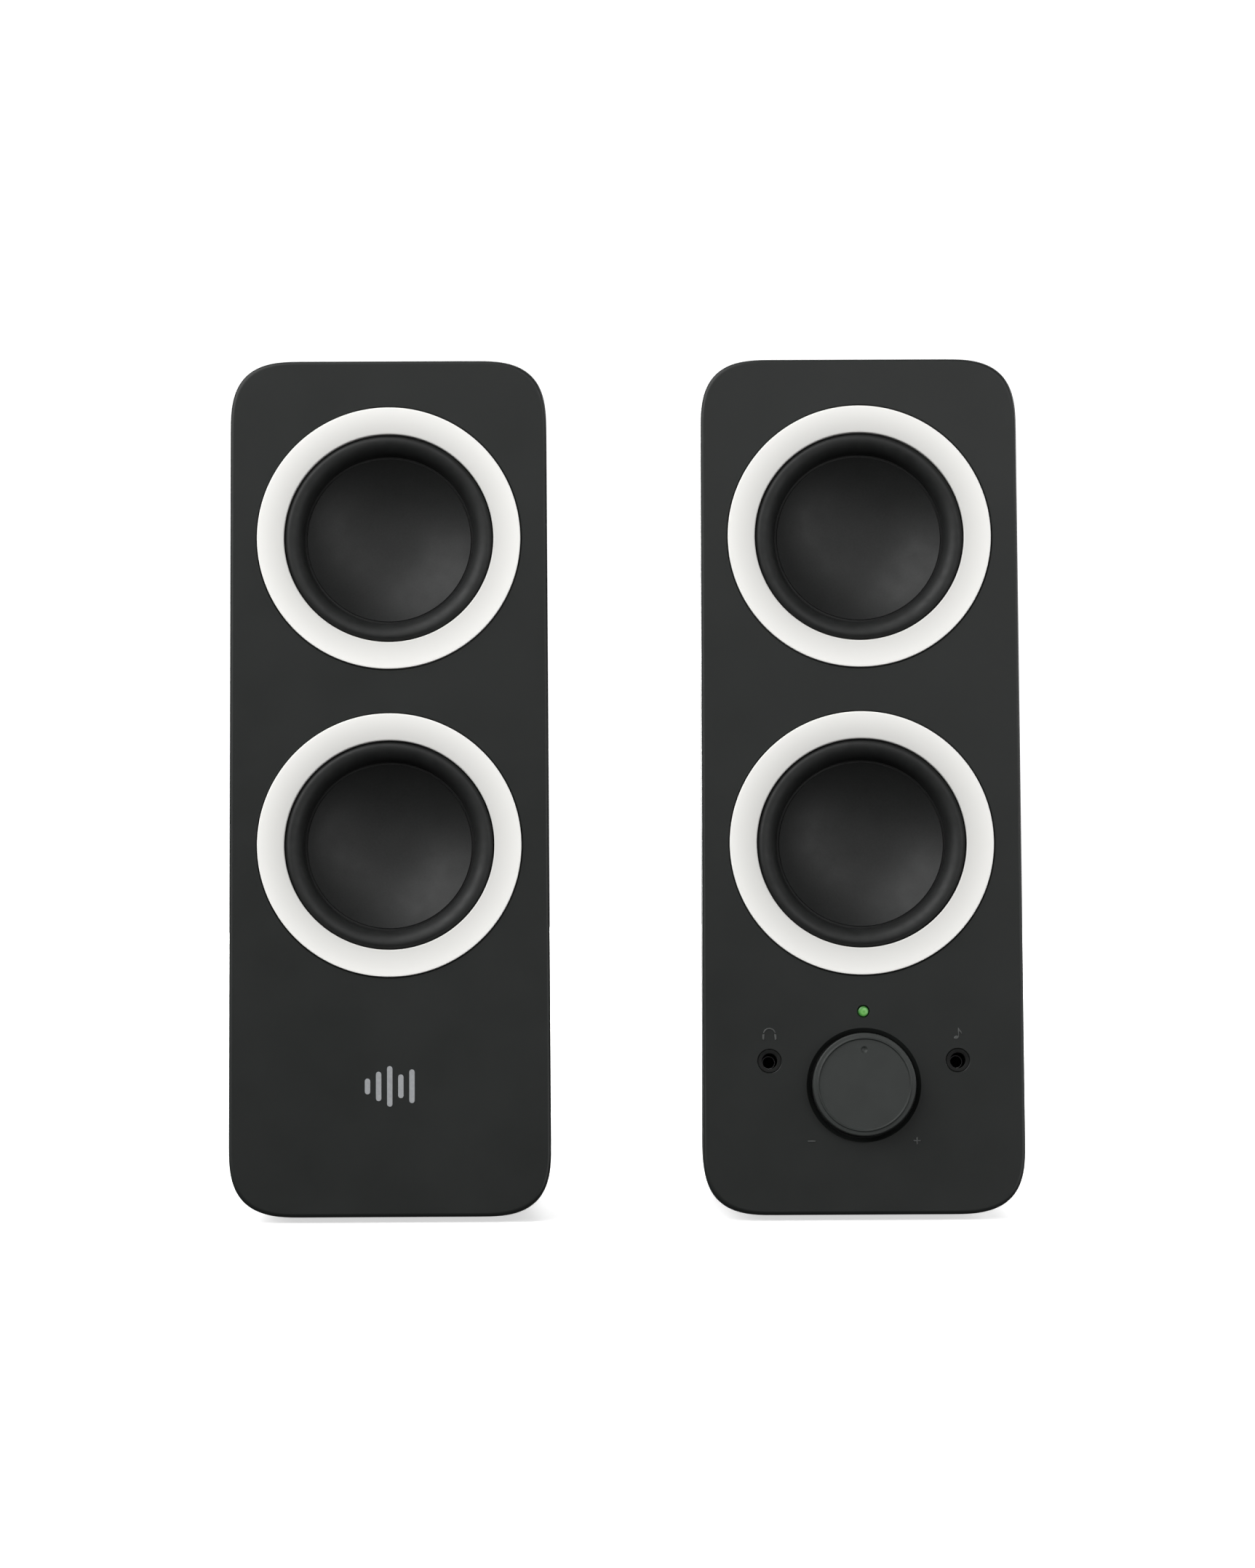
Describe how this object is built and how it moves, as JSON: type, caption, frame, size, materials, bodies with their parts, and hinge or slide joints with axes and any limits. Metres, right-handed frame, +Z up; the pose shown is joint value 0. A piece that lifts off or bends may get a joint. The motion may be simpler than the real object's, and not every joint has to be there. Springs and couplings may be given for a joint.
{
  "type": "desktop speakers",
  "caption": "Pair of slim leaning desktop speakers with white-ringed drivers, a volume knob, a power light and headphone and audio sockets on the right one.",
  "frame": {"origin": "on the desk, at the middle of the pair's footprint", "axes": "+Z up, -Y out of the fronts towards the listener, +X to the right of the listener who faces the pair"},
  "size_m": [0.2222, 0.1241, 0.2411],
  "materials": {
    "charcoal_plastic": "satin",
    "black_plastic": "matte",
    "knob_plastic": "satin",
    "white_plastic": "satin",
    "rubber": "matte",
    "cone_polypropylene": "satin",
    "spider_cloth": "matte",
    "ferrite": "matte",
    "steel": "satin",
    "copper": "satin",
    "aluminium": "satin",
    "circuit_board": "satin",
    "green_lens": "gloss"
  },
  "bodies": {
    "right_speaker": {"right_front_baffle": "charcoal_plastic", "right_rear_housing": "charcoal_plastic", "right_upper_trim_ring": "white_plastic", "right_lower_trim_ring": "white_plastic", "right_front_foot": "rubber", "right_rear_foot": "rubber", "right_driver_basket": "black_plastic", "right_driver_spider": "spider_cloth", "right_driver_top_plate": "steel", "right_driver_magnet": "ferrite", "right_driver_yoke": "steel", "right_driver_surround": "rubber", "right_radiator_frame": "black_plastic", "right_radiator_surround": "rubber", "right_screw_low_left": "steel", "right_screw_low_right": "steel", "right_screw_top_left": "steel", "right_screw_top_right": "steel", "right_driver_lead": "black_plastic", "volume_control": "steel", "power_light": "green_lens", "headphone_jack": "black_plastic", "aux_jack": "black_plastic", "control_board": "circuit_board", "amplifier_board": "circuit_board", "heat_sink": "aluminium", "filter_capacitor": "black_plastic", "power_socket": "black_plastic", "power_socket_pin": "steel", "speaker_socket": "steel", "bass_control": "steel"},
    "left_speaker": {"left_front_baffle": "charcoal_plastic", "left_rear_housing": "charcoal_plastic", "left_upper_trim_ring": "white_plastic", "left_lower_trim_ring": "white_plastic", "left_front_foot": "rubber", "left_rear_foot": "rubber", "left_driver_basket": "black_plastic", "left_driver_spider": "spider_cloth", "left_driver_top_plate": "steel", "left_driver_magnet": "ferrite", "left_driver_yoke": "steel", "left_driver_surround": "rubber", "left_radiator_frame": "black_plastic", "left_radiator_surround": "rubber", "left_screw_low_left": "steel", "left_screw_low_right": "steel", "left_screw_top_left": "steel", "left_screw_top_right": "steel", "left_driver_lead": "black_plastic", "left_lead_gland": "rubber"},
    "volume_knob": {"volume_knob": "knob_plastic", "volume_shaft": "steel"},
    "bass_knob": {"bass_knob": "black_plastic"},
    "left_driver_diaphragm": {"left_driver_cone": "cone_polypropylene", "left_driver_voice_coil": "copper"},
    "left_radiator_diaphragm": {"left_radiator_cone": "cone_polypropylene"},
    "right_driver_diaphragm": {"right_driver_cone": "cone_polypropylene", "right_driver_voice_coil": "copper"},
    "right_radiator_diaphragm": {"right_radiator_cone": "cone_polypropylene"}
  },
  "joints": [
    {"name": "left_speaker_place", "type": "slide", "parent": "right_speaker", "child": "left_speaker", "axis": [-1, 0, 0], "range_m": [-0.03, 0.06]},
    {"name": "volume_turn", "type": "hinge", "parent": "right_speaker", "child": "volume_knob", "pos_m": [0.06615, -0.0557, 0.03767], "axis": [0, 0.9945, -0.1045], "range_deg": [-150, 150]},
    {"name": "bass_turn", "type": "hinge", "parent": "right_speaker", "child": "bass_knob", "pos_m": [0.06615, 0.05089, 0.07201], "axis": [0, -0.9848, -0.1736], "range_deg": [-140, 140]},
    {"name": "left_driver_stroke", "type": "slide", "parent": "left_speaker", "child": "left_driver_diaphragm", "axis": [0, -0.9945, 0.1045], "range_m": [-0.002, 0.002], "stiffness_N_per_m": 800, "deforming": ["left_driver_surround", "left_driver_spider"]},
    {"name": "left_radiator_stroke", "type": "slide", "parent": "left_speaker", "child": "left_radiator_diaphragm", "axis": [0, -0.9945, 0.1045], "range_m": [-0.002, 0.002], "stiffness_N_per_m": 800, "deforming": ["left_radiator_surround"]},
    {"name": "right_driver_stroke", "type": "slide", "parent": "right_speaker", "child": "right_driver_diaphragm", "axis": [0, -0.9945, 0.1045], "range_m": [-0.002, 0.002], "stiffness_N_per_m": 800, "deforming": ["right_driver_surround", "right_driver_spider"]},
    {"name": "right_radiator_stroke", "type": "slide", "parent": "right_speaker", "child": "right_radiator_diaphragm", "axis": [0, -0.9945, 0.1045], "range_m": [-0.002, 0.002], "stiffness_N_per_m": 800, "deforming": ["right_radiator_surround"]}
  ]
}
